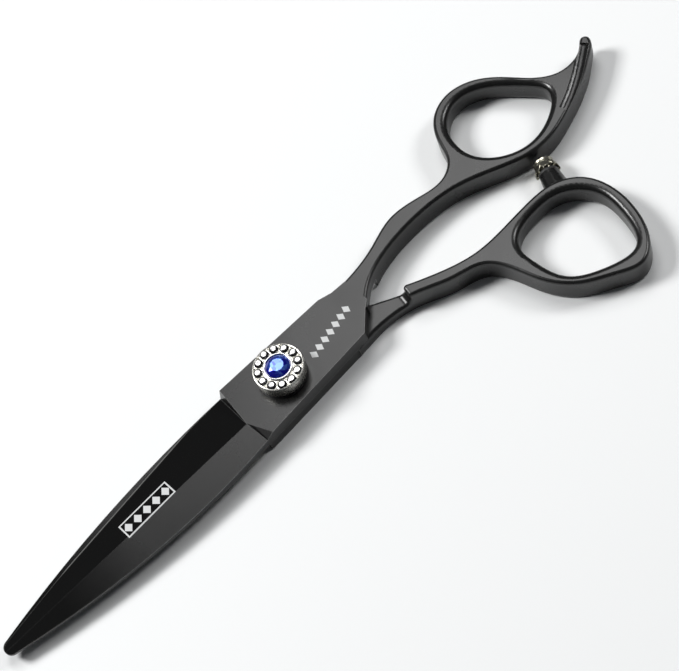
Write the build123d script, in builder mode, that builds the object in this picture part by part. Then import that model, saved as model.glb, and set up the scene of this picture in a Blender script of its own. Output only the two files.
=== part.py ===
"""Hair cutting shears: two half-lapped blades on a jewelled tension dial.

Frame: origin on the pivot axis at the flat underside, -X to the tips, +X to the handles,
+Y to the finger ring and +Z to the dial. All sizes are in millimetres.
"""
import os
from math import cos, pi, radians, sin

from build123d import *

os.makedirs("parts", exist_ok=True)

# Driving dimensions
HALF = 2.8                  # thickness of one half where the halves are lapped
FULL = 2 * HALF             # thickness of a shank or a ring
LAP_GAP = 0.02              # each half stands back this much from the lap plane
RUN_CLEARANCE = 0.05        # radial clearance where one piece turns in another
SLIP = 0.02                 # radial clearance where a piece is pressed or glued in

EDGE_LAND = 0.25            # thickness of a blade at its cutting edge
RIDGE_HEIGHT = 2.6          # at the ridge, where the two ground planes meet
SPINE_HEIGHT = 1.9          # and at the foot of its spine
SHOULDER_CHAMFER = 0.45     # bevel on the thumb block's shoulder

FINGER_STEP_RADIUS = 27.0   # where the finger shank comes down to full thickness
THUMB_STEP_RADIUS = 28.6    # where the thumb shank comes up to full thickness
FACE_ROUND = 0.65           # fillet round the outline of a shank and ring
HOLE_ROUND = 1.3            # fillet along the ring holes
STEP_ROUND = 1.6            # fillet at the foot of the thumb shank's step
LIP_ROUND = 0.7             # and along its top

STUD_HEAD_RADIUS = 4.1
STUD_HEAD_THICK = 1.0
STUD_KEY = 4.8              # side of the square key
STUD_JOURNAL_RADIUS = 2.3
STUD_THREAD_RADIUS = 1.75
STUD_TOP = 7.9
THREAD_CHAMFER = 0.25
HEAD_CLEARANCE = 0.1
SPANNER_HOLE_RADIUS = 0.5
SPANNER_HOLE_PITCH = 5.0
BUSH_RADIUS = 3.2
WASHER_RADIUS = 5.0
WASHER_RECESS = 0.3

PLATE_RADIUS = 5.1
PLATE_THICK = 0.55
PLATE_NOTCHES = 24
NOTCH_LENGTH = 0.7
NOTCH_WIDTH = 0.3
NOTCH_DEPTH = 0.15
PIN_RADIUS = 0.45
PIN_PLACE = 4.4
PIN_DEPTH = 0.8

DIAL_RADIUS = 5.1
DIAL_BOTTOM = FULL + PLATE_THICK + 0.05
DIAL_TOP = 8.75
DIAL_FLUTES = 48
DIAL_FLUTE_RADIUS = 0.2
DIAL_FLUTE_OFFSET = 0.08
DIAL_FLUTE_HEIGHT = 1.3
DIAL_CHAMFER = 0.2
SPRING_RECESS_RADIUS = 4.3
SPRING_RECESS = 0.45
SPRING_INNER = 2.6
SPRING_OUTER = 4.2
SPRING_THICK = 0.25
SPRING_FOOT = 0.03
COLLET_RADIUS = 2.95
COLLET_WALL = 0.42
COLLET_FLOOR = 8.15
COLLET_TOP = 9.15
COLLET_LIP_ROUND = 0.18
GEM_RADIUS = 2.46
TABLE_SHARE = 0.57          # of a stone's radius
CULET_SHARE = 0.25
GIRDLE_THICK = 0.08
GEM_SIDES = 16
GEM_GIRDLE = 8.95
GEM_TOP = 9.7
CRYSTALS = 12
CRYSTAL_PLACE = 4.02
CRYSTAL_RADIUS = 0.92
CRYSTAL_SEAT = 8.2
CRYSTAL_GIRDLE = 8.72
CRYSTAL_TOP = 9.15
CRYSTAL_SIDES = 8

STOP_ROOT = (63.6, -12.6)   # the bumper stands square on the thumb ring here, half way up
STOP_LEAN = 21.5            # degrees from +Y towards +X
BOSS_END = 5.1              # from here on, distances along the bumper's axis
BOSS_ROOT_RADIUS = 2.75
BOSS_END_RADIUS = 2.1
STOP_STUD_RADIUS = 1.0
STOP_STUD_BACK = 1.1
STOP_STUD_CHAMFER = 0.2
PAD_THICK = 0.4
CROWN_BACK_RADIUS = 2.7
CROWN_RADIUS = 2.25
CROWN_FRONT = 8.1
CROWN_CUP = 1.0             # depth of the crystal's seat
PETALS = 7
PETAL_GAP = 0.7
PETAL_LENGTH = 1.2
PETAL_HEIGHT = 0.8
STOP_CRYSTAL_RADIUS = 1.9
STOP_CRYSTAL_FRONT = 9.2
STOP_CRYSTAL_SIDES = 10

# Plan of each blade, from its shoulder to its tip. The edge is the curve on the first line.
FINGER_EDGE = [(-11.1, 7.2), (-30.0, 6.7), (-52.0, 4.25), (-71.6, 1.25)]
FINGER_SPINE = [(-11.2, -7.65), (-41.0, -7.3), (-55.0, -5.4), (-71.6, -1.9)]
THUMB_EDGE = [(-11.1, 7.2), (-41.0, 6.8), (-55.0, 4.9), (-71.6, 1.5)]
THUMB_SPINE = [(-9.4, -7.4), (-30.0, -7.15), (-52.0, -5.1), (-71.6, -1.7)]
RIDGE_START = (-11.6, -2.3)
RIDGE_TIP_Y = -0.4
TIP_X = -73.0

# The shoulder of the finger block slopes from these corners of its face to the foot of the blade
EDGE_CORNER = (-10.4, 7.15)
SPINE_CORNER = (-9.4, -7.6)
FINGER_BLOCK = [(15.6, 6.5), (18.5, 5.6), (22.0, 5.35), (22.0, -0.9), (20.4, -2.2), (16.6, -6.0)]
THUMB_BLOCK = [
    (-9.4, 7.4), (-11.6, 2.3), (-11.1, -7.2), (15.0, -5.95), (22.0, -5.5), (22.0, -0.2), (16.6, 6.1),
]
FINGER_LINK = (14.0, -4.0)  # where each shank's outline closes inside its block
THUMB_LINK = (14.0, 0.0)

# Plan of the finger shank, ring and tang, from the block out and back
FINGER_OUTLINE = [
    (16.5, 5.6), (22.0, 5.6), (30.5, 7.0), (37.5, 8.95), (44.0, 8.1), (50.5, 7.1), (54.0, 8.9),
    (56.5, 14.0), (60.0, 18.9), (65.5, 20.9), (71.6, 19.0), (77.2, 12.7), (80.3, 8.5), (83.2, 6.4),
    (86.4, 5.8), (89.2, 6.4), (91.1, 7.7), (92.4, 8.4), (93.4, 7.7), (93.1, 6.3), (91.0, 4.5), (87.6, 2.4),
    (84.0, 0.6), (80.6, -0.8), (77.0, -2.0), (72.5, -3.2), (67.0, -3.2), (58.0, 0.4), (50.4, 3.6),
    (43.0, 4.7), (33.0, 4.2), (26.5, 2.3), (21.0, -2.0),
]
FINGER_HOLE = [
    (58.4, 10.0), (60.3, 3.4), (66.4, -0.5), (74.0, 0.5), (79.0, 5.2), (76.6, 10.4), (72.2, 15.7),
    (66.6, 18.3), (60.8, 15.9),
]
# The tang: a hollow for the fourth finger along its top, and an arc in x and z that thins it from below
HOLLOW_LINE = [(77.5, -1.1), (81.5, 0.6), (85.0, 2.5), (88.3, 4.6), (91.7, 6.9)]
HOLLOW_RADIUS = 1.5
HOLLOW_RISE = 0.95          # height of the hollow's centre line above the face
RELIEF_ARC = [(82.0, 0.0), (88.0, 0.9), (94.5, 3.2)]
RELIEF_FOOT = [(94.5, -1.0), (82.0, -1.0)]  # the relief is cut from below the underside
RELIEF_REACH = 12.0                         # and this far to each side

# Plan of the thumb shank and ring
THUMB_OUTLINE = [
    (20.0, 0.8), (28.0, -3.9), (35.0, -7.5), (43.0, -10.2), (50.0, -10.5), (57.0, -10.3),
    (63.0, -11.0), (67.9, -14.4), (70.0, -21.0), (68.8, -28.8), (65.4, -34.7), (61.2, -37.0),
    (55.8, -34.7), (50.0, -30.6), (46.4, -25.0), (44.6, -18.5), (41.8, -13.4), (36.0, -11.0),
    (28.0, -7.2), (22.0, -5.9), (14.0, -6.3),
]
THUMB_HOLE = [
    (48.6, -19.0), (50.6, -14.2), (56.6, -12.7), (63.0, -13.8), (67.2, -19.0), (67.0, -25.6),
    (62.8, -33.2), (56.4, -32.0), (50.6, -28.0),
]


def ground_blade(edge, spine):
    """One blade: flat side on z = 0, edge on +Y, spine on -Y, ground on two planes to a ridge."""
    edge_slope = (RIDGE_HEIGHT - EDGE_LAND) / (edge[0][1] - RIDGE_START[1])
    tip_height = EDGE_LAND + edge_slope * (edge[-1][1] - RIDGE_TIP_Y)
    ridge_start = Vector(*RIDGE_START, RIDGE_HEIGHT)
    ridge_end = Vector(edge[-1][0], RIDGE_TIP_Y, tip_height)
    edge_start = Vector(*edge[0], EDGE_LAND)
    spine_start = Vector(*spine[0], SPINE_HEIGHT)
    along = ridge_end - ridge_start
    edge_facet = Plane(ridge_start, x_dir=along, z_dir=(edge_start - ridge_start).cross(along))
    spine_facet = Plane(ridge_start, x_dir=along, z_dir=along.cross(spine_start - ridge_start))
    with BuildPart() as blade:
        with BuildSketch():
            with BuildLine():
                Spline(*edge)
                ThreePointArc(edge[-1], (TIP_X, RIDGE_TIP_Y), spine[-1])
                Spline(*spine)
                Polyline(spine[0], RIDGE_START, edge[0])
            make_face()
        extrude(amount=HALF)
        split(bisect_by=edge_facet, keep=Keep.BOTTOM)
        split(bisect_by=spine_facet, keep=Keep.BOTTOM)
    return blade.part


def shoulder_plane(corner, foot, height):
    """A sloping plane from the block's face edge, ridge to corner, down to the foot of the blade."""
    ridge = Vector(*RIDGE_START, FULL)
    top = Vector(*corner, FULL) - ridge
    down = Vector(*foot, HALF + LAP_GAP + height) - ridge
    normal = down.cross(top)
    return Plane(ridge, x_dir=top, z_dir=normal if normal.X < 0 else -normal)


def shank_and_ring(outline, link, hole):
    """A rounded shank and finger ring of full thickness, cut by its hole."""
    with BuildPart() as handle:
        with BuildSketch():
            with BuildLine():
                Spline(*outline)
                Polyline(outline[-1], link, outline[0])
            make_face()
            with BuildLine():
                Spline(*hole, periodic=True)
            make_face(mode=Mode.SUBTRACT)
        extrude(amount=FULL)
        rims = handle.faces().filter_by(Axis.Z).edges().filter_by(GeomType.BSPLINE).sort_by(SortBy.LENGTH)
        fillet(rims[0:2], radius=HOLE_ROUND)
        fillet(rims[2:4], radius=FACE_ROUND)
    return handle.part


# Finger half: blade, pivot block, shank, finger ring and tang are one forging.
finger_ground = ground_blade(FINGER_EDGE, FINGER_SPINE)
finger_handle = shank_and_ring(FINGER_OUTLINE, FINGER_LINK, FINGER_HOLE)

with BuildPart() as tang_hollow:
    with BuildLine() as hollow_path:
        Spline(*[(x, y, FULL + HOLLOW_RISE) for x, y in HOLLOW_LINE])
    with BuildSketch(Plane(hollow_path.line @ 0, z_dir=hollow_path.line % 0)):
        Circle(HOLLOW_RADIUS)
    sweep()

with BuildPart() as tang_relief:
    with BuildSketch(Plane.XZ):
        with BuildLine():
            ThreePointArc(*RELIEF_ARC)
            Polyline(RELIEF_ARC[-1], *RELIEF_FOOT, RELIEF_ARC[0])
        make_face()
    extrude(amount=RELIEF_REACH, both=True)

with BuildPart() as finger_blade:
    with BuildSketch(Plane.XY.offset(HALF + LAP_GAP)):
        with BuildLine():
            Polyline(FINGER_SPINE[0], RIDGE_START, FINGER_EDGE[0], *FINGER_BLOCK, close=True)
        make_face()
    extrude(amount=HALF - LAP_GAP)
    split(bisect_by=shoulder_plane(EDGE_CORNER, FINGER_EDGE[0], EDGE_LAND), keep=Keep.BOTTOM)
    split(bisect_by=shoulder_plane(SPINE_CORNER, FINGER_SPINE[0], SPINE_HEIGHT), keep=Keep.BOTTOM)
    with Locations((0, 0, HALF + LAP_GAP)):
        add(finger_ground)
    add(finger_handle)
    add(tang_hollow.part, mode=Mode.SUBTRACT)
    add(tang_relief.part, mode=Mode.SUBTRACT)
    with BuildSketch():
        Circle(FINGER_STEP_RADIUS)
    extrude(amount=HALF + LAP_GAP, mode=Mode.SUBTRACT)
    with BuildSketch(Plane.XY.offset(HALF + LAP_GAP)):
        Circle(WASHER_RADIUS + HEAD_CLEARANCE)
    extrude(amount=WASHER_RECESS, mode=Mode.SUBTRACT)
    with BuildSketch(Plane.XY.offset(HALF)):
        Circle(BUSH_RADIUS)
    extrude(amount=HALF, mode=Mode.SUBTRACT)
    with BuildSketch(Plane.XY.offset(FULL - PIN_DEPTH)):
        with Locations((PIN_PLACE, 0)):
            Circle(PIN_RADIUS)
    extrude(amount=PIN_DEPTH, mode=Mode.SUBTRACT)
finger_blade.part.label = "finger_blade"
export_step(finger_blade.part, "parts/finger_blade.step")

# The bumper's axis: square to the thumb ring, half way up it.
stop_turn = radians(STOP_LEAN)
stop_plane = Plane((*STOP_ROOT, HALF), x_dir=(0, 0, 1), z_dir=(sin(stop_turn), cos(stop_turn), 0))

# Thumb half: the same forging turned over, with a boss for the bumper on its ring.
thumb_ground = ground_blade(THUMB_EDGE, THUMB_SPINE)
thumb_handle = shank_and_ring(THUMB_OUTLINE, THUMB_LINK, THUMB_HOLE)

with BuildPart() as thumb_blade:
    with BuildSketch():
        with BuildLine():
            Polyline(*THUMB_BLOCK, close=True)
        make_face()
    extrude(amount=HALF - LAP_GAP)
    shoulder = thumb_blade.edges().group_by(Axis.Z)[0].sort_by(Axis.X)[0:2]
    chamfer(shoulder, length=SHOULDER_CHAMFER)
    with Locations(Location((0, 0, HALF - LAP_GAP), (180, 0, 0))):
        add(thumb_ground)
    add(thumb_handle)
    with BuildSketch(Plane.XY.offset(HALF - LAP_GAP)):
        Circle(THUMB_STEP_RADIUS)
    extrude(amount=HALF + LAP_GAP, mode=Mode.SUBTRACT)
    step_wall = thumb_blade.faces().filter_by(GeomType.CYLINDER).sort_by(Axis.X)[-1]
    fillet(step_wall.edges().group_by(Axis.Z)[0], radius=STEP_ROUND)
    step_lip = thumb_blade.edges().filter_by(GeomType.CIRCLE).group_by(Axis.Z)[-1]
    fillet(step_lip, radius=LIP_ROUND)
    with BuildSketch(stop_plane):
        Circle(BOSS_ROOT_RADIUS)
    with BuildSketch(stop_plane.offset(BOSS_END)):
        Circle(BOSS_END_RADIUS)
    loft()
    with BuildSketch(stop_plane.offset(STOP_STUD_BACK)):
        Circle(STOP_STUD_RADIUS + RUN_CLEARANCE)
    extrude(amount=BOSS_END - STOP_STUD_BACK, mode=Mode.SUBTRACT)
    with BuildSketch():
        Circle(STUD_HEAD_RADIUS + HEAD_CLEARANCE)
    extrude(amount=STUD_HEAD_THICK, mode=Mode.SUBTRACT)
    with BuildSketch():
        Rectangle(STUD_KEY + 2 * SLIP, STUD_KEY + 2 * SLIP)
    extrude(amount=HALF, mode=Mode.SUBTRACT)
thumb_blade.part.label = "thumb_blade"
export_step(thumb_blade.part, "parts/thumb_blade.step")

# Pivot stud: flush head with two spanner holes, square key, journal and threaded end.
with BuildPart() as pivot_stud:
    with BuildSketch():
        Circle(STUD_HEAD_RADIUS)
        with GridLocations(SPANNER_HOLE_PITCH, 0, 2, 1):
            Circle(SPANNER_HOLE_RADIUS, mode=Mode.SUBTRACT)
    extrude(amount=STUD_HEAD_THICK / 2)
    with BuildSketch(Plane.XY.offset(STUD_HEAD_THICK / 2)):
        Circle(STUD_HEAD_RADIUS)
    extrude(amount=STUD_HEAD_THICK / 2)
    with BuildSketch(Plane.XY.offset(STUD_HEAD_THICK)):
        Rectangle(STUD_KEY, STUD_KEY)
    extrude(amount=HALF - STUD_HEAD_THICK - WASHER_RECESS)
    with BuildSketch(Plane.XY.offset(STUD_HEAD_THICK)):
        Circle(STUD_JOURNAL_RADIUS)
    extrude(amount=FULL - STUD_HEAD_THICK)
    with BuildSketch(Plane.XY.offset(FULL)):
        Circle(STUD_THREAD_RADIUS)
    extrude(amount=STUD_TOP - FULL)
    chamfer(pivot_stud.edges().group_by(Axis.Z)[-1], length=THREAD_CHAMFER)
pivot_stud.part.label = "pivot_stud"
export_step(pivot_stud.part, "parts/pivot_stud.step")

# Pivot bush: pressed into the finger half, with the stud's journal turning in it.
with BuildPart() as pivot_bush:
    with BuildSketch(Plane.XY.offset(HALF + LAP_GAP + WASHER_RECESS)):
        Circle(BUSH_RADIUS - SLIP)
        Circle(STUD_JOURNAL_RADIUS + RUN_CLEARANCE, mode=Mode.SUBTRACT)
    extrude(amount=HALF - LAP_GAP - WASHER_RECESS)
pivot_bush.part.label = "pivot_bush"
export_step(pivot_bush.part, "parts/pivot_bush.step")

# Ride washer: lies in the finger half's recess and bears on the thumb half.
with BuildPart() as ride_washer:
    with BuildSketch(Plane.XY.offset(HALF)):
        Circle(WASHER_RADIUS)
        Circle(STUD_JOURNAL_RADIUS + 2 * RUN_CLEARANCE, mode=Mode.SUBTRACT)
    extrude(amount=WASHER_RECESS + LAP_GAP / 2)
ride_washer.part.label = "ride_washer"
export_step(ride_washer.part, "parts/ride_washer.step")

# Click plate: notched ring on the block's face, kept from turning by a dowel.
with BuildPart() as click_plate:
    with BuildSketch(Plane.XY.offset(FULL)):
        Circle(PLATE_RADIUS)
        Circle(SPRING_INNER, mode=Mode.SUBTRACT)
        with Locations((PIN_PLACE, 0)):
            Circle(PIN_RADIUS + SLIP, mode=Mode.SUBTRACT)
    extrude(amount=PLATE_THICK)
    with BuildSketch(Plane.XY.offset(FULL + PLATE_THICK - NOTCH_DEPTH)):
        with PolarLocations(PLATE_RADIUS, PLATE_NOTCHES, start_angle=180 / PLATE_NOTCHES):
            Rectangle(NOTCH_LENGTH, NOTCH_WIDTH)
    extrude(amount=NOTCH_DEPTH, mode=Mode.SUBTRACT)
click_plate.part.label = "click_plate"
export_step(click_plate.part, "parts/click_plate.step")

# Click pin: the dowel, driven into the block.
with BuildPart() as click_pin:
    with BuildSketch(Plane.XY.offset(FULL - PIN_DEPTH + SLIP)):
        with Locations((PIN_PLACE, 0)):
            Circle(PIN_RADIUS - SLIP)
    extrude(amount=PIN_DEPTH + PLATE_THICK - 2 * SLIP)
click_pin.part.label = "click_pin"
export_step(click_pin.part, "parts/click_pin.step")

# Spring washer: a coned ring in the dial's underside that loads the pivot.
spring_low = DIAL_BOTTOM - SPRING_FOOT
spring_high = DIAL_BOTTOM + SPRING_RECESS - SLIP
with BuildPart() as spring_washer:
    with BuildSketch(Plane.XZ):
        with BuildLine():
            Polyline((SPRING_INNER, spring_high - SPRING_THICK), (SPRING_INNER, spring_high),
                     (SPRING_OUTER, spring_low + SPRING_THICK), (SPRING_OUTER, spring_low), close=True)
        make_face()
    revolve(axis=Axis.Z)
spring_washer.part.label = "spring_washer"
export_step(spring_washer.part, "parts/spring_washer.step")

# Dial: silver cup with a fluted foot, a seat for the centre gem's collet and twelve crystal seats.
with BuildPart() as dial_body:
    with BuildSketch(Plane.XY.offset(DIAL_BOTTOM)):
        Circle(DIAL_RADIUS)
    extrude(amount=DIAL_TOP - DIAL_BOTTOM)
    rims = dial_body.edges().filter_by(GeomType.CIRCLE)
    chamfer(rims, length=DIAL_CHAMFER)
    with BuildSketch(Plane.XY.offset(DIAL_BOTTOM)):
        with PolarLocations(DIAL_RADIUS + DIAL_FLUTE_OFFSET, DIAL_FLUTES):
            Circle(DIAL_FLUTE_RADIUS)
    extrude(amount=DIAL_FLUTE_HEIGHT, mode=Mode.SUBTRACT)
    with BuildSketch(Plane.XY.offset(DIAL_BOTTOM)):
        Circle(SPRING_RECESS_RADIUS)
    extrude(amount=SPRING_RECESS, mode=Mode.SUBTRACT)
    with BuildSketch(Plane.XY.offset(DIAL_BOTTOM)):
        Circle(STUD_THREAD_RADIUS + RUN_CLEARANCE)
    extrude(amount=STUD_TOP - DIAL_BOTTOM + RUN_CLEARANCE, mode=Mode.SUBTRACT)
    with BuildSketch(Plane.XY.offset(COLLET_FLOOR)):
        Circle(COLLET_RADIUS + SLIP)
    extrude(amount=DIAL_TOP - COLLET_FLOOR, mode=Mode.SUBTRACT)
    with BuildSketch(Plane.XY.offset(CRYSTAL_SEAT)):
        with PolarLocations(CRYSTAL_PLACE, CRYSTALS):
            Circle(CRYSTAL_RADIUS + SLIP)
    extrude(amount=DIAL_TOP - CRYSTAL_SEAT, mode=Mode.SUBTRACT)
dial_body.part.label = "dial_body"
export_step(dial_body.part, "parts/dial_body.step")

# Gem collet: bright ring soldered into the dial, with its lip rounded over the gem.
with BuildPart() as gem_collet:
    with BuildSketch(Plane.XY.offset(COLLET_FLOOR)):
        Circle(COLLET_RADIUS)
        Circle(COLLET_RADIUS - COLLET_WALL, mode=Mode.SUBTRACT)
    extrude(amount=COLLET_TOP - COLLET_FLOOR)
    fillet(gem_collet.edges().group_by(Axis.Z)[-1], radius=COLLET_LIP_ROUND)
gem_collet.part.label = "gem_collet"
export_step(gem_collet.part, "parts/gem_collet.step")


def cut_stone(base, place, radius, seat, girdle, top, sides):
    """A faceted stone along base's normal: pavilion, girdle and crown with a flat table."""
    stations = [(seat, CULET_SHARE), (girdle, 1.0), (girdle + GIRDLE_THICK, 1.0), (top, TABLE_SHARE)]
    with BuildPart() as stone:
        for (low, low_share), (high, high_share) in zip(stations, stations[1:]):
            with BuildSketch(base.offset(low)):
                with Locations(place):
                    RegularPolygon(radius * low_share, sides)
            with BuildSketch(base.offset(high)):
                with Locations(place):
                    RegularPolygon(radius * high_share, sides)
            loft()
    return stone.part


# Centre gem: one large blue stone.
centre_gem = cut_stone(Plane.XY, (0, 0), GEM_RADIUS, COLLET_FLOOR, GEM_GIRDLE, GEM_TOP, GEM_SIDES)
centre_gem.label = "centre_gem"
export_step(centre_gem, "parts/centre_gem.step")

# Rim crystals: twelve clear stones, numbered anticlockwise from +X.
for number in range(CRYSTALS):
    turn = 2 * pi * number / CRYSTALS
    place = (CRYSTAL_PLACE * cos(turn), CRYSTAL_PLACE * sin(turn))
    crystal = cut_stone(Plane.XY, place, CRYSTAL_RADIUS, CRYSTAL_SEAT, CRYSTAL_GIRDLE, CRYSTAL_TOP,
                        CRYSTAL_SIDES)
    crystal.label = f"rim_crystal_{number + 1:02d}"
    export_step(crystal, f"parts/{crystal.label}.step")

# Bumper stud: stands in the boss and carries the crown.
with BuildPart() as stop_stud:
    with BuildSketch(stop_plane.offset(STOP_STUD_BACK + HEAD_CLEARANCE)):
        Circle(STOP_STUD_RADIUS)
    extrude(amount=CROWN_FRONT - CROWN_CUP - HEAD_CLEARANCE - STOP_STUD_BACK - HEAD_CLEARANCE)
    chamfer(stop_stud.edges().group_by(Axis.Y)[0], length=STOP_STUD_CHAMFER)
stop_stud.part.label = "stop_stud"
export_step(stop_stud.part, "parts/stop_stud.step")

# Bumper pad: soft ring between the boss and the crown.
with BuildPart() as stop_pad:
    with BuildSketch(stop_plane.offset(BOSS_END + SLIP)):
        Circle(BOSS_END_RADIUS)
        Circle(STOP_STUD_RADIUS + SLIP, mode=Mode.SUBTRACT)
    extrude(amount=PAD_THICK)
stop_pad.part.label = "stop_pad"
export_step(stop_pad.part, "parts/stop_pad.step")

# Petal crown: a flared cap slotted into petals round its back, with the crystal's seat in front.
crown_back = BOSS_END + PAD_THICK + 2 * SLIP
with BuildPart() as stop_crown:
    with BuildSketch(stop_plane.offset(crown_back)):
        Circle(CROWN_BACK_RADIUS)
    with BuildSketch(stop_plane.offset(CROWN_FRONT)):
        Circle(CROWN_RADIUS)
    loft()
    with BuildSketch(stop_plane.offset(crown_back)):
        Circle(STOP_STUD_RADIUS + SLIP)
    extrude(amount=CROWN_FRONT - CROWN_CUP - crown_back, mode=Mode.SUBTRACT)
    with BuildSketch(stop_plane.offset(CROWN_FRONT - CROWN_CUP)):
        Circle(STOP_CRYSTAL_RADIUS + SLIP)
    extrude(amount=CROWN_CUP, mode=Mode.SUBTRACT)
    with BuildSketch(stop_plane.offset(crown_back)):
        with PolarLocations(CROWN_BACK_RADIUS, PETALS):
            Rectangle(PETAL_LENGTH, PETAL_GAP)
    extrude(amount=PETAL_HEIGHT, mode=Mode.SUBTRACT)
stop_crown.part.label = "stop_crown"
export_step(stop_crown.part, "parts/stop_crown.step")

# Bumper crystal: a clear stone in the crown.
stop_crystal = cut_stone(stop_plane, (0, 0), STOP_CRYSTAL_RADIUS, CROWN_FRONT - CROWN_CUP + SLIP,
                         CROWN_FRONT - HEAD_CLEARANCE, STOP_CRYSTAL_FRONT, STOP_CRYSTAL_SIDES)
stop_crystal.label = "stop_crystal"
export_step(stop_crystal, "parts/stop_crystal.step")
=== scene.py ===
"""Hair cutting shears with a jewelled tension dial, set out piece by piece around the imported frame."""
import math

import bmesh
import bpy
from mathutils import Matrix, Quaternion, Vector


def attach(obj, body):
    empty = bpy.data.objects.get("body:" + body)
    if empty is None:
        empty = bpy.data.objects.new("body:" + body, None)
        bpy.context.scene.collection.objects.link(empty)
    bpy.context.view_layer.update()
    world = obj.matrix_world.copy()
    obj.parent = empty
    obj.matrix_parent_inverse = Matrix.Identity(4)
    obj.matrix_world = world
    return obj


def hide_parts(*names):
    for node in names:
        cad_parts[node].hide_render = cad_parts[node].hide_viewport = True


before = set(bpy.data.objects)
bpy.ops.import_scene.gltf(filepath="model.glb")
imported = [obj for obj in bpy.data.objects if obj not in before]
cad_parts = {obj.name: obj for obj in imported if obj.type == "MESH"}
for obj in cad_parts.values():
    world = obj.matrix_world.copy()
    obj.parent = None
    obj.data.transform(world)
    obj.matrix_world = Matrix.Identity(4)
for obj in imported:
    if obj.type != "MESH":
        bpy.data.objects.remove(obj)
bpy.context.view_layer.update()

# Studio: the shears lie on a pale table, and the camera looks down on them from the side of the
# thumb ring. A wide soft box hangs behind them, and two stronger lamps whiten the table.
MM = 0.001
camera_aim = Vector((13.0, -2.6, 5.6)) * MM
camera_azimuth = math.radians(-110.3)
camera_elevation = math.radians(57.8)
camera_roll = math.radians(-26.7)
camera_distance = 363.7 * MM
camera_lens = 100.74

camera_data = bpy.data.cameras.new("camera")
camera_data.lens = camera_lens
camera_data.clip_start = 0.01
camera = bpy.data.objects.new("camera", camera_data)
bpy.context.collection.objects.link(camera)
camera_side = Vector((
    math.cos(camera_elevation) * math.cos(camera_azimuth),
    math.cos(camera_elevation) * math.sin(camera_azimuth),
    math.sin(camera_elevation),
))
camera.location = camera_aim + camera_side * camera_distance
upright = camera_side.to_track_quat("Z", "Y")
camera.rotation_mode = "QUATERNION"
camera.rotation_quaternion = upright @ Quaternion((0, 0, 1), camera_roll)
bpy.context.scene.camera = camera
bpy.context.scene.view_settings.view_transform = "Standard"


def soft_box(name, azimuth, elevation, distance, width, sparkle_cells, radiance):
    """A rectangular area light that faces the pivot, as bright all over as radiance says."""
    data = bpy.data.lights.new(name, "AREA")
    data.shape = "RECTANGLE"
    data.size = width
    data.size_y = sparkle_cells
    data.energy = radiance * math.pi * width * sparkle_cells
    light = bpy.data.objects.new(name, data)
    bpy.context.collection.objects.link(light)
    turn, rise = math.radians(azimuth), math.radians(elevation)
    side = Vector((math.cos(rise) * math.cos(turn), math.cos(rise) * math.sin(turn), math.sin(rise)))
    light.location = side * distance
    light.rotation_euler = side.to_track_quat("Z", "Y").to_euler()
    return light


soft_box("back_box", 52, 62, 0.9, 0.42, 0.50, 4.0)
soft_box("tip_lamp", 130, 46, 1.0, 0.30, 0.30, 30.0)
soft_box("ring_lamp", -15, 40, 1.0, 0.25, 0.25, 15.0)

world = bpy.data.worlds.new("studio")
world.use_nodes = True
world.node_tree.nodes["Background"].inputs["Color"].default_value = (0.92, 0.95, 1.0, 1)
world.node_tree.nodes["Background"].inputs["Strength"].default_value = 0.06
bpy.context.scene.world = world

table_mesh = bpy.data.meshes.new("table_top")
table_bm = bmesh.new()
bmesh.ops.create_grid(table_bm, x_segments=1, y_segments=1, size=1.5)
table_bm.to_mesh(table_mesh)
table_bm.free()
table_top = bpy.data.objects.new("table_top", table_mesh)
bpy.context.collection.objects.link(table_top)
table_paper = bpy.data.materials.new("table_paper")
table_paper.use_nodes = True
paper = table_paper.node_tree.nodes["Principled BSDF"]
paper.inputs["Base Color"].default_value = (0.86, 0.87, 0.87, 1)
paper.inputs["Roughness"].default_value = 0.6
table_mesh.materials.append(table_paper)


# Finger half and thumb half: each is one forging of stainless steel under a satin black coating.
# The blades are ground on two planes, and the wide one next to the edge is polished.
def new_group(name, inputs, outputs):
    """An empty shader node group with float, vector or colour sockets."""
    kinds = {"float": "NodeSocketFloat", "vector": "NodeSocketVector", "colour": "NodeSocketColor"}
    group = bpy.data.node_groups.new(name, "ShaderNodeTree")
    for label, kind, value in inputs:
        socket = group.interface.new_socket(label, in_out="INPUT", socket_type=kinds[kind])
        if value is not None:
            socket.default_value = value
    for label, kind in outputs:
        group.interface.new_socket(label, in_out="OUTPUT", socket_type=kinds[kind])
    return group, group.nodes.new("NodeGroupInput"), group.nodes.new("NodeGroupOutput")


def math_node(tree, operation, first, second=0.0, clamp=False):
    """A Math node's output, with each operand a socket or a number."""
    node = tree.nodes.new("ShaderNodeMath")
    node.operation = operation
    node.use_clamp = clamp
    for socket, value in zip(node.inputs, (first, second)):
        if isinstance(value, bpy.types.NodeSocket):
            tree.links.new(value, socket)
        else:
            socket.default_value = value
    return node.outputs[0]


def mix_colours(tree, mask, first, second):
    """A Mix node's colour output, with each colour a socket or four numbers."""
    node = tree.nodes.new("ShaderNodeMix")
    node.data_type = "RGBA"
    tree.links.new(mask, node.inputs["Factor"])
    for socket, value in ((node.inputs[6], first), (node.inputs[7], second)):
        if isinstance(value, bpy.types.NodeSocket):
            tree.links.new(value, socket)
        else:
            socket.default_value = value
    return node.outputs[2]


def place_group(tree, group, **values):
    """A node group in a material, with its inputs set to numbers or linked to sockets."""
    node = tree.nodes.new("ShaderNodeGroup")
    node.node_tree = group
    for label, value in values.items():
        socket = node.inputs[label.replace("_", " ")]
        if isinstance(value, bpy.types.NodeSocket):
            tree.links.new(value, socket)
        else:
            socket.default_value = value
    return node.outputs


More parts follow.
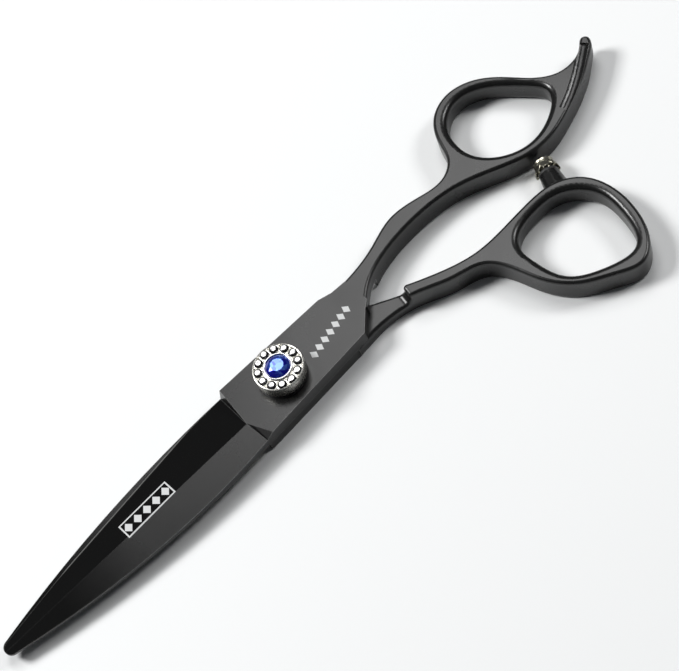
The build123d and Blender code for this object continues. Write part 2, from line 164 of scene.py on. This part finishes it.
# Grain of a blasted or brushed metal: Tone is fine and Cloud is coarse, and both run from 0 to 1.
metal_grain, grain_in, grain_out = new_group(
    "metal_grain",
    [("Grains Per Metre", "float", 4000.0)],
    [("Tone", "float"), ("Cloud", "float")],
)
grain_place = metal_grain.nodes.new("ShaderNodeTexCoord")
grain_fine = metal_grain.nodes.new("ShaderNodeTexNoise")
grain_fine.inputs["Detail"].default_value = 3.0
metal_grain.links.new(grain_place.outputs["Object"], grain_fine.inputs["Vector"])
metal_grain.links.new(grain_in.outputs["Grains Per Metre"], grain_fine.inputs["Scale"])
grain_cloud = metal_grain.nodes.new("ShaderNodeTexNoise")
grain_cloud.inputs["Scale"].default_value = 90.0
grain_cloud.inputs["Detail"].default_value = 4.0
metal_grain.links.new(grain_place.outputs["Object"], grain_cloud.inputs["Vector"])
metal_grain.links.new(grain_fine.outputs[0], grain_out.inputs["Tone"])
metal_grain.links.new(grain_cloud.outputs[0], grain_out.inputs["Cloud"])

# Wear along edges: Mask is 1 where a corner is rubbed and 0 on the flats.
edge_wear, wear_in, wear_out = new_group(
    "edge_wear",
    [("Radius", "float", 0.0003), ("Amount", "float", 1.0)],
    [("Mask", "float")],
)
wear_round = edge_wear.nodes.new("ShaderNodeBevel")
wear_round.samples = 4
edge_wear.links.new(wear_in.outputs["Radius"], wear_round.inputs["Radius"])
wear_flat = edge_wear.nodes.new("ShaderNodeNewGeometry")
wear_dot = edge_wear.nodes.new("ShaderNodeVectorMath")
wear_dot.operation = "DOT_PRODUCT"
edge_wear.links.new(wear_round.outputs[0], wear_dot.inputs[0])
edge_wear.links.new(wear_flat.outputs["True Normal"], wear_dot.inputs[1])
wear_turn = math_node(edge_wear, "SUBTRACT", 1.0, wear_dot.outputs["Value"])
wear_place = edge_wear.nodes.new("ShaderNodeTexCoord")
wear_patch = edge_wear.nodes.new("ShaderNodeTexNoise")
wear_patch.inputs["Scale"].default_value = 500.0
edge_wear.links.new(wear_place.outputs["Object"], wear_patch.inputs["Vector"])
wear_broken = math_node(edge_wear, "MULTIPLY", wear_turn, wear_patch.outputs[0])
wear_scaled = math_node(edge_wear, "MULTIPLY", wear_broken, 12.0)
edge_wear.links.new(
    math_node(edge_wear, "MULTIPLY", wear_scaled, wear_in.outputs["Amount"], clamp=True),
    wear_out.inputs["Mask"],
)

# A laser mark of no maker: a framed row of lozenges, of Length by Width, on metres along X and Y.
laser_mark, mark_in, mark_out = new_group(
    "laser_mark",
    [("Place", "vector", None), ("Length", "float", 0.01), ("Width", "float", 0.002),
     ("Pitch", "float", 0.002), ("Line", "float", 0.0002)],
    [("Mask", "float")],
)
mark_axes = laser_mark.nodes.new("ShaderNodeSeparateXYZ")
laser_mark.links.new(mark_in.outputs["Place"], mark_axes.inputs[0])
mark_u = math_node(laser_mark, "ABSOLUTE", mark_axes.outputs[0])
mark_v = math_node(laser_mark, "ABSOLUTE", mark_axes.outputs[1])
half_length = math_node(laser_mark, "MULTIPLY", mark_in.outputs["Length"], 0.5)
half_width = math_node(laser_mark, "MULTIPLY", mark_in.outputs["Width"], 0.5)
within = math_node(laser_mark, "MULTIPLY", math_node(laser_mark, "LESS_THAN", mark_u, half_length),
                   math_node(laser_mark, "LESS_THAN", mark_v, half_width))
inner_length = math_node(laser_mark, "SUBTRACT", half_length, mark_in.outputs["Line"])
inner_width = math_node(laser_mark, "SUBTRACT", half_width, mark_in.outputs["Line"])
hollow = math_node(laser_mark, "MULTIPLY", math_node(laser_mark, "LESS_THAN", mark_u, inner_length),
                   math_node(laser_mark, "LESS_THAN", mark_v, inner_width))
half_pitch = math_node(laser_mark, "MULTIPLY", mark_in.outputs["Pitch"], 0.5)
folded_u = math_node(laser_mark, "PINGPONG", mark_u, half_pitch)
lozenge_u = math_node(laser_mark, "DIVIDE", folded_u, half_pitch)
lozenge_v = math_node(laser_mark, "DIVIDE", mark_v, inner_width)
lozenge = math_node(laser_mark, "LESS_THAN", math_node(laser_mark, "ADD", lozenge_u, lozenge_v), 0.8)
frame_line = math_node(laser_mark, "SUBTRACT", within, hollow)
laser_mark.links.new(
    math_node(laser_mark, "MAXIMUM", frame_line, math_node(laser_mark, "MULTIPLY", lozenge, within)),
    mark_out.inputs["Mask"],
)


def shell_material(name, marks):
    """Satin black coating, polished on the blade's wide ground face, with steel at worn corners."""
    material = bpy.data.materials.new(name)
    material.use_nodes = True
    tree = material.node_tree
    shader = tree.nodes["Principled BSDF"]
    grain = place_group(tree, metal_grain, Grains_Per_Metre=9000.0)
    wear = place_group(tree, edge_wear, Radius=0.00022, Amount=0.55)
    place = tree.nodes.new("ShaderNodeTexCoord")
    axes = tree.nodes.new("ShaderNodeSeparateXYZ")
    tree.links.new(place.outputs["Object"], axes.inputs[0])
    facing = tree.nodes.new("ShaderNodeSeparateXYZ")
    tree.links.new(place.outputs["Normal"], facing.inputs[0])
    on_blade = math_node(tree, "LESS_THAN", axes.outputs[0], -11.0 * MM)
    edge_side = math_node(tree, "GREATER_THAN", math_node(tree, "ABSOLUTE", facing.outputs[1]), 0.15)
    not_wall = math_node(tree, "GREATER_THAN", math_node(tree, "ABSOLUTE", facing.outputs[2]), 0.8)
    towards_tip = math_node(tree, "SUBTRACT", -40.0 * MM, axes.outputs[0])
    at_tip = math_node(tree, "DIVIDE", towards_tip, 20.0 * MM, clamp=True)
    ground_smooth = math_node(tree, "MAXIMUM", edge_side, at_tip)
    polished = math_node(tree, "MULTIPLY", on_blade, math_node(tree, "MULTIPLY", ground_smooth, not_wall))
    cloud = math_node(tree, "SUBTRACT", grain["Cloud"], 0.5)
    satin_rough = math_node(tree, "ADD", 0.28, math_node(tree, "MULTIPLY", cloud, 0.12))
    polish_rough = math_node(tree, "ADD", 0.12, math_node(tree, "MULTIPLY", cloud, 0.04))
    smoother = math_node(tree, "SUBTRACT", polish_rough, satin_rough)
    roughness = math_node(tree, "ADD", satin_rough, math_node(tree, "MULTIPLY", smoother, polished))
    coating = mix_colours(tree, grain["Tone"], (0.0028, 0.0028, 0.0028, 1), (0.0055, 0.0055, 0.0053, 1))
    colour = mix_colours(tree, wear["Mask"], coating, (0.16, 0.16, 0.155, 1))
    for spot, turn, length, width, pitch, line, height in marks:
        mapping = tree.nodes.new("ShaderNodeMapping")
        mapping.vector_type = "TEXTURE"
        mapping.inputs["Location"].default_value = spot
        mapping.inputs["Rotation"].default_value = (0, 0, turn)
        tree.links.new(place.outputs["Object"], mapping.inputs["Vector"])
        mark = place_group(tree, laser_mark, Place=mapping.outputs[0], Length=length, Width=width,
                           Pitch=pitch, Line=line)
        above = math_node(tree, "GREATER_THAN", axes.outputs[2], height)
        mask = math_node(tree, "MULTIPLY", mark["Mask"], above)
        colour = mix_colours(tree, mask, colour, (0.60, 0.61, 0.61, 1))
        roughness = math_node(tree, "ADD", roughness, math_node(tree, "MULTIPLY", mask, 0.3))
    tree.links.new(colour, shader.inputs["Base Color"])
    tree.links.new(roughness, shader.inputs["Roughness"])
    bump = tree.nodes.new("ShaderNodeBump")
    bump.inputs["Strength"].default_value = 0.12
    bump.inputs["Distance"].default_value = 0.00001
    tree.links.new(grain["Tone"], bump.inputs["Height"])
    tree.links.new(bump.outputs[0], shader.inputs["Normal"])
    shader.inputs["Specular IOR Level"].default_value = 0.55
    return material


# Each mark: place, turn, length, width, pitch of its lozenges, frame line, lowest height it shows at
block_mark = ((12.4 * MM, -0.55 * MM, 0), math.radians(12.4), 13.2 * MM, 2.7 * MM, 1.85 * MM, 0.0, 5.4 * MM)
blade_mark = ((-36.1 * MM, 0.2 * MM, 0), 0.0, 12.2 * MM, 3.9 * MM, 2.4 * MM, 0.3 * MM, 3.0 * MM)
finger_steel = shell_material("finger_coated_steel", [block_mark, blade_mark])
thumb_steel = shell_material("thumb_coated_steel", [])


def finish_node(node, material):
    """Gives a CAD node its material in every slot."""
    for material_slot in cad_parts[node].material_slots:
        material_slot.material = material


finish_node("finger_blade", finger_steel)
finish_node("thumb_blade", thumb_steel)


# Pivot: a turned steel stud keyed into the thumb half, in a bronze bush, with a polymer washer
# between the halves. Only the stud's flush head is seen, from below.
def turned_metal(name, colour, deep, roughness, metallic, rings_per_metre, wear_amount):
    """A lathe-turned metal with fine rings about the pivot axis and rubbed corners."""
    material = bpy.data.materials.new(name)
    material.use_nodes = True
    tree = material.node_tree
    shader = tree.nodes["Principled BSDF"]
    grain = place_group(tree, metal_grain, Grains_Per_Metre=3000.0)
    wear = place_group(tree, edge_wear, Radius=0.00012, Amount=wear_amount)
    place = tree.nodes.new("ShaderNodeTexCoord")
    rings = tree.nodes.new("ShaderNodeTexWave")
    rings.wave_type = "RINGS"
    rings.rings_direction = "Z"
    rings.inputs["Scale"].default_value = rings_per_metre
    rings.inputs["Distortion"].default_value = 0.6
    tree.links.new(place.outputs["Object"], rings.inputs["Vector"])
    body = mix_colours(tree, grain["Cloud"], deep, colour)
    bright = tuple(min(1.0, value * 1.25) for value in colour[:3]) + (1,)
    tree.links.new(mix_colours(tree, wear["Mask"], body, bright), shader.inputs["Base Color"])
    spread = math_node(tree, "MULTIPLY", math_node(tree, "SUBTRACT", grain["Tone"], 0.5), 0.25)
    tree.links.new(math_node(tree, "ADD", spread, roughness), shader.inputs["Roughness"])
    bump = tree.nodes.new("ShaderNodeBump")
    bump.inputs["Strength"].default_value = 0.2
    bump.inputs["Distance"].default_value = 0.00001
    tree.links.new(rings.outputs["Fac"], bump.inputs["Height"])
    tree.links.new(bump.outputs[0], shader.inputs["Normal"])
    shader.inputs["Metallic"].default_value = metallic
    return material


stud_steel = turned_metal(
    "turned_stud_steel", (0.60, 0.60, 0.59, 1), (0.42, 0.42, 0.42, 1), 0.28, 1.0, 900.0, 0.8)
bush_bronze = turned_metal(
    "turned_bronze", (0.62, 0.43, 0.22, 1), (0.45, 0.29, 0.13, 1), 0.32, 1.0, 900.0, 0.8)
washer_polymer = turned_metal(
    "washer_polymer", (0.80, 0.80, 0.76, 1), (0.68, 0.68, 0.64, 1), 0.42, 0.0, 1500.0, 0.3)
spring_steel = turned_metal(
    "blued_spring_steel", (0.30, 0.31, 0.36, 1), (0.16, 0.17, 0.24, 1), 0.30, 1.0, 1200.0, 0.6)
plate_black = turned_metal(
    "plate_black_oxide", (0.022, 0.022, 0.022, 1), (0.012, 0.012, 0.012, 1), 0.36, 0.0, 1400.0, 0.8)
for node, material in (
    ("pivot_stud", stud_steel), ("pivot_bush", bush_bronze), ("ride_washer", washer_polymer),
    ("spring_washer", spring_steel), ("click_plate", plate_black), ("click_pin", stud_steel),
):
    finish_node(node, material)


# Tension dial: a bright plated cup with a fluted foot. Its face has a seat for each stone, a thin
# rolled rim round the edge, a bezel round every crystal and a pair of claw beads between them.
def plated_silver(name, colour, shade_and_tarnish, roughness):
    """Bright plating, dulled a little by a random clouding, with painted shade in its hollows."""
    material = bpy.data.materials.new(name)
    material.use_nodes = True
    tree = material.node_tree
    shader = tree.nodes["Principled BSDF"]
    grain = place_group(tree, metal_grain, Grains_Per_Metre=5000.0)
    wear = place_group(tree, edge_wear, Radius=0.0001, Amount=0.6)
    # Painted shade: wherever ambient occlusion finds a hollow, the plating is darkened towards the dull
    # colour.
    hollows = tree.nodes.new("ShaderNodeAmbientOcclusion")
    hollows.samples = 4
    hollows.inputs["Distance"].default_value = 0.0004
    shade = math_node(tree, "POWER", hollows.outputs["AO"], 1.5)
    painted_hollow_shade = mix_colours(tree, shade, shade_and_tarnish, colour)
    # A random cloud of the same dull colour stands for tarnish on the plating.
    clouded = mix_colours(tree, math_node(tree, "MULTIPLY", grain["Cloud"], 0.35), painted_hollow_shade, shade_and_tarnish)
    bright = tuple(min(1.0, value * 1.12) for value in colour[:3]) + (1,)
    tree.links.new(mix_colours(tree, wear["Mask"], clouded, bright), shader.inputs["Base Color"])
    spread = math_node(tree, "MULTIPLY", grain["Tone"], 0.12)
    tree.links.new(math_node(tree, "ADD", spread, roughness), shader.inputs["Roughness"])
    bump = tree.nodes.new("ShaderNodeBump")
    bump.inputs["Strength"].default_value = 0.15
    bump.inputs["Distance"].default_value = 0.00001
    tree.links.new(grain["Tone"], bump.inputs["Height"])
    tree.links.new(bump.outputs[0], shader.inputs["Normal"])
    shader.inputs["Metallic"].default_value = 1.0
    return material


def keep_piece(name, bm, material, body):
    """Makes a mesh object from bm that rides on a body, with its normals outward."""
    bmesh.ops.remove_doubles(bm, verts=bm.verts, dist=1e-7)
    bmesh.ops.recalc_face_normals(bm, faces=bm.faces)
    mesh = bpy.data.meshes.new(name)
    bm.to_mesh(mesh)
    bm.free()
    piece = bpy.data.objects.new(name, mesh)
    bpy.context.collection.objects.link(piece)
    mesh.materials.append(material)
    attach(piece, body)
    return piece


def spin_wire(bm, centre, radius, wire, turns, sides):
    """Adds a closed ring of round wire to bm, about a vertical line through centre."""
    start = bmesh.ops.create_circle(bm, segments=sides, radius=wire)
    bmesh.ops.rotate(bm, verts=start["verts"], matrix=Matrix.Rotation(math.pi / 2, 3, "X"))
    bmesh.ops.translate(bm, verts=start["verts"], vec=centre + Vector((radius, 0, 0)))
    edges = list({edge for vert in start["verts"] for edge in vert.link_edges})
    bmesh.ops.spin(bm, geom=start["verts"] + edges, cent=centre, axis=(0, 0, 1), angle=2 * math.pi,
                   steps=turns, use_merge=True)


def around_dial(turn, reach, height):
    """A point at a turn about the dial's axis, at a distance from it and a height."""
    return Vector((reach * math.cos(turn), reach * math.sin(turn), height))


dial_silver = plated_silver("dial_plated_silver", (0.92, 0.91, 0.86, 1), (0.54, 0.52, 0.44, 1), 0.22)
finish_node("dial_body", dial_silver)

dial_radius = 5.1 * MM
dial_top = 8.75 * MM
rim_wire = 0.15 * MM
bezel_wire = 0.055 * MM
stone_count = 12
stone_pitch_radius = 4.02 * MM
stone_seat_radius = 0.92 * MM
stone_turns = [2 * math.pi * number / stone_count for number in range(stone_count)]

rim_bm = bmesh.new()
spin_wire(rim_bm, Vector((0, 0, dial_top)), dial_radius - rim_wire - 0.02 * MM, rim_wire, 72, 10)
keep_piece("dial_rim", rim_bm, dial_silver, "tension_dial")

bezel_bm = bmesh.new()
for turn in stone_turns:
    spin_wire(bezel_bm, around_dial(turn, stone_pitch_radius, dial_top), stone_seat_radius + 0.08 * MM,
              bezel_wire, 28, 8)
keep_piece("crystal_bezels", bezel_bm, dial_silver, "tension_dial")

# Between two crystals there is a large bead towards the rim and a small one towards the gem.
bead_bm = bmesh.new()
for turn in stone_turns:
    between = turn + math.pi / stone_count
    for outward, size in ((0.66 * MM, 0.21 * MM), (-0.72 * MM, 0.13 * MM)):
        place = around_dial(between, stone_pitch_radius + outward, dial_top + 0.06 * MM)
        bmesh.ops.create_uvsphere(bead_bm, u_segments=14, v_segments=8, radius=size,
                                  matrix=Matrix.Translation(place))
keep_piece("claw_beads", bead_bm, dial_silver, "tension_dial")

# Gem collet: a bright ring soldered into the dial, its lip burnished over the blue stone.
collet_silver = plated_silver("collet_plated_silver", (0.93, 0.93, 0.95, 1), (0.55, 0.55, 0.58, 1), 0.10)
finish_node("gem_collet", collet_silver)


# Stones: moulded glass in a brilliant cut with a foiled back, which makes each facet answer the light like
# a small tinted mirror. On top of that, sparkle is painted as lighter and darker facets, and sloping facets
# carry painted shade. The large one is blue and the rest are clear.
def foiled_glass(name, bright, deep, roughness, metallic, cells_per_metre):
    """Foil-backed glass with painted sparkle: its colour is painted lighter and darker from facet to facet,
    and deeper on sloping facets.
    """
    material = bpy.data.materials.new(name)
    material.use_nodes = True
    tree = material.node_tree
    shader = tree.nodes["Principled BSDF"]
    place = tree.nodes.new("ShaderNodeTexCoord")
    # Painted sparkle: every facet gets its own random share of the deep colour.
    facet = tree.nodes.new("ShaderNodeTexWhiteNoise")
    facet.noise_dimensions = "3D"
    coarse = tree.nodes.new("ShaderNodeVectorMath")
    coarse.operation = "SNAP"
    coarse.inputs[1].default_value = (0.02, 0.02, 0.02)
    tree.links.new(place.outputs["Normal"], coarse.inputs[0])
    tree.links.new(coarse.outputs[0], facet.inputs["Vector"])
    # Painted sparkle inside the stone: cells of deeper colour, which are also a little rougher.
    sparkle_cells = tree.nodes.new("ShaderNodeTexVoronoi")
    sparkle_cells.inputs["Scale"].default_value = cells_per_metre
    tree.links.new(place.outputs["Object"], sparkle_cells.inputs["Vector"])
    cell = tree.nodes.new("ShaderNodeSeparateColor")
    tree.links.new(sparkle_cells.outputs["Color"], cell.inputs[0])
    inner_sparkle = math_node(tree, "MULTIPLY", cell.outputs[0], 0.6)
    lean = tree.nodes.new("ShaderNodeSeparateXYZ")
    tree.links.new(place.outputs["Normal"], lean.inputs[0])
    # Painted shade: facets that slope away from the table are pushed towards the deep colour.
    sloping = math_node(tree, "LESS_THAN", lean.outputs[2], 0.97)
    facet_sparkle = math_node(tree, "MULTIPLY", math_node(tree, "ADD", facet.outputs[0], sloping), 0.45)
    painted_sparkle = math_node(tree, "ADD", facet_sparkle, inner_sparkle, clamp=True)
    tree.links.new(mix_colours(tree, painted_sparkle, bright, deep), shader.inputs["Base Color"])
    tree.links.new(math_node(tree, "ADD", roughness, math_node(tree, "MULTIPLY", inner_sparkle, 0.1)),
                   shader.inputs["Roughness"])
    shader.inputs["Metallic"].default_value = metallic
    shader.inputs["Coat Weight"].default_value = 1.0
    shader.inputs["Coat Roughness"].default_value = 0.02
    return material


def brilliant(name, base, sides, radius, heights, spin, tiers, material, body, node):
    """A brilliant-cut stone along base's Z, in the place of a node: table, crown, girdle and pavilion."""
    girdle, top, culet = heights
    crown = [(share, girdle + rise * (top - girdle), lag) for share, rise, lag in tiers]
    waist = [(1.0, girdle, 0.0), (1.0, girdle, 0.5)]
    point = [(culet_share, culet, 0.0)]
    stone_bm = bmesh.new()
    for share, height, lag in crown + waist + point:
        turned = Matrix.Rotation(spin + lag * 2 * math.pi / sides, 4, "Z")
        bmesh.ops.create_circle(stone_bm, segments=sides, radius=radius * share,
                                matrix=Matrix.Translation((0, 0, height)) @ turned)
    hull = bmesh.ops.convex_hull(stone_bm, input=stone_bm.verts)
    bmesh.ops.delete(stone_bm, geom=hull["geom_interior"], context="VERTS")
    bmesh.ops.dissolve_limit(stone_bm, angle_limit=math.radians(1.5), verts=stone_bm.verts,
                             edges=stone_bm.edges)
    bmesh.ops.transform(stone_bm, verts=stone_bm.verts, matrix=base)
    stone = keep_piece(name, stone_bm, material, body)
    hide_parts(node)


gem_blue = foiled_glass(
    "gem_foiled_blue", (0.16, 0.38, 1.0, 1), (0.004, 0.005, 0.30, 1), 0.05, 0.5, 1000.0)
crystal_clear = foiled_glass(
    "crystal_foiled_clear", (1.0, 0.99, 0.97, 1), (0.03, 0.03, 0.035, 1), 0.04, 0.9, 2000.0)

# Tiers of facet corners from the table down: share of the radius, share of the crown's rise, lag in facets
flat_cut = ((0.55, 1.0, 0.5), (0.80, 0.62, 0.0))
round_cut = ((0.40, 1.0, 0.5), (0.72, 0.78, 0.0), (0.93, 0.42, 0.5))
culet_share = 0.25

# Heights of each stone's girdle, table and culet
gem_heights = (9.02 * MM, 9.68 * MM, 8.2 * MM)
crystal_heights = (8.77 * MM, 9.14 * MM, 8.25 * MM)
brilliant("blue_gem", Matrix.Identity(4), 10, 2.46 * MM, gem_heights, 0.2, flat_cut, gem_blue,
          "tension_dial", "centre_gem")
for number, turn in enumerate(stone_turns):
    seat = Matrix.Translation(around_dial(turn, stone_pitch_radius, 0))
    brilliant(f"rim_stone_{number + 1:02d}", seat, 8, 0.98 * MM, crystal_heights, 0.7 * number, flat_cut,
              crystal_clear, "tension_dial", f"rim_crystal_{number + 1:02d}")

# Bumper: a steel stud in the thumb ring's boss, with a soft rubber pad behind a flared petal cap.
# The cap is a thin pressing with its petals curled towards the pad, and holds a clear stone.
stop_root = Vector((63.6, -12.6, 2.8)) * MM
stop_lean = math.radians(21.5)
stop_along = Vector((math.sin(stop_lean), math.cos(stop_lean), 0))
stop_frame = Matrix.Translation(stop_root) @ stop_along.to_track_quat("Z", "X").to_matrix().to_4x4()

pad_rubber = turned_metal(
    "pad_rubber", (0.030, 0.030, 0.030, 1), (0.018, 0.018, 0.018, 1), 0.62, 0.0, 700.0, 0.2)
crown_silver = plated_silver("crown_plated_silver", (0.76, 0.73, 0.60, 1), (0.26, 0.24, 0.16, 1), 0.16)
finish_node("stop_stud", stud_steel)
finish_node("stop_pad", pad_rubber)

# The cap's section, as radius and distance along the stud: base, curled petals, wall, lip, stone seat
petals = 7
steps_per_petal = 8
cap_profile = (
    (1.08, 5.9), (1.5, 6.0), (1.95, 6.1), (2.35, 5.95), (2.66, 5.62), (2.62, 5.9), (2.42, 6.5), (2.2, 7.1),
    (2.12, 7.7), (2.14, 8.05), (2.02, 8.1), (1.92, 7.9), (1.9, 7.3), (1.08, 7.2),
)
cap_bm = bmesh.new()
cap_verts = [cap_bm.verts.new((radius * MM, 0, height * MM)) for radius, height in cap_profile]
cap_edges = [cap_bm.edges.new((cap_verts[i - 1], cap_verts[i])) for i in range(len(cap_verts))]
bmesh.ops.spin(cap_bm, geom=cap_verts + cap_edges, cent=(0, 0, 0), axis=(0, 0, 1), angle=2 * math.pi,
               steps=petals * steps_per_petal, use_merge=True)
bmesh.ops.remove_doubles(cap_bm, verts=cap_bm.verts, dist=1e-7)

# The gaps between the petals are drawn in towards the stud and up, most at the petals' free ends.
petal_top = 7.0 * MM
petal_length = 1.3 * MM
cup_radius = 1.9 * MM
gap_inward = 0.14
gap_lift = 0.85 * MM
for vert in cap_bm.verts:
    radius, turn = math.hypot(vert.co.x, vert.co.y), math.atan2(vert.co.y, vert.co.x)
    notch = abs(math.cos(petals * turn / 2))
    flare = max(0.0, min(1.0, (petal_top - vert.co.z) / petal_length)) * (radius > cup_radius)
    cut = flare * (1.0 - notch ** 0.6)
    vert.co.x *= 1 - gap_inward * cut
    vert.co.y *= 1 - gap_inward * cut
    vert.co.z += gap_lift * cut
bmesh.ops.transform(cap_bm, verts=cap_bm.verts, matrix=stop_frame)
petal_cap = keep_piece("petal_cap", cap_bm, crown_silver, "bumper")
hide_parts("stop_crown")
cap_stone_heights = (8.12 * MM, 9.18 * MM, 7.25 * MM)
brilliant("bumper_stone", stop_frame, 9, 1.88 * MM, cap_stone_heights, 0.3, round_cut, crystal_clear,
          "bumper", "stop_crystal")
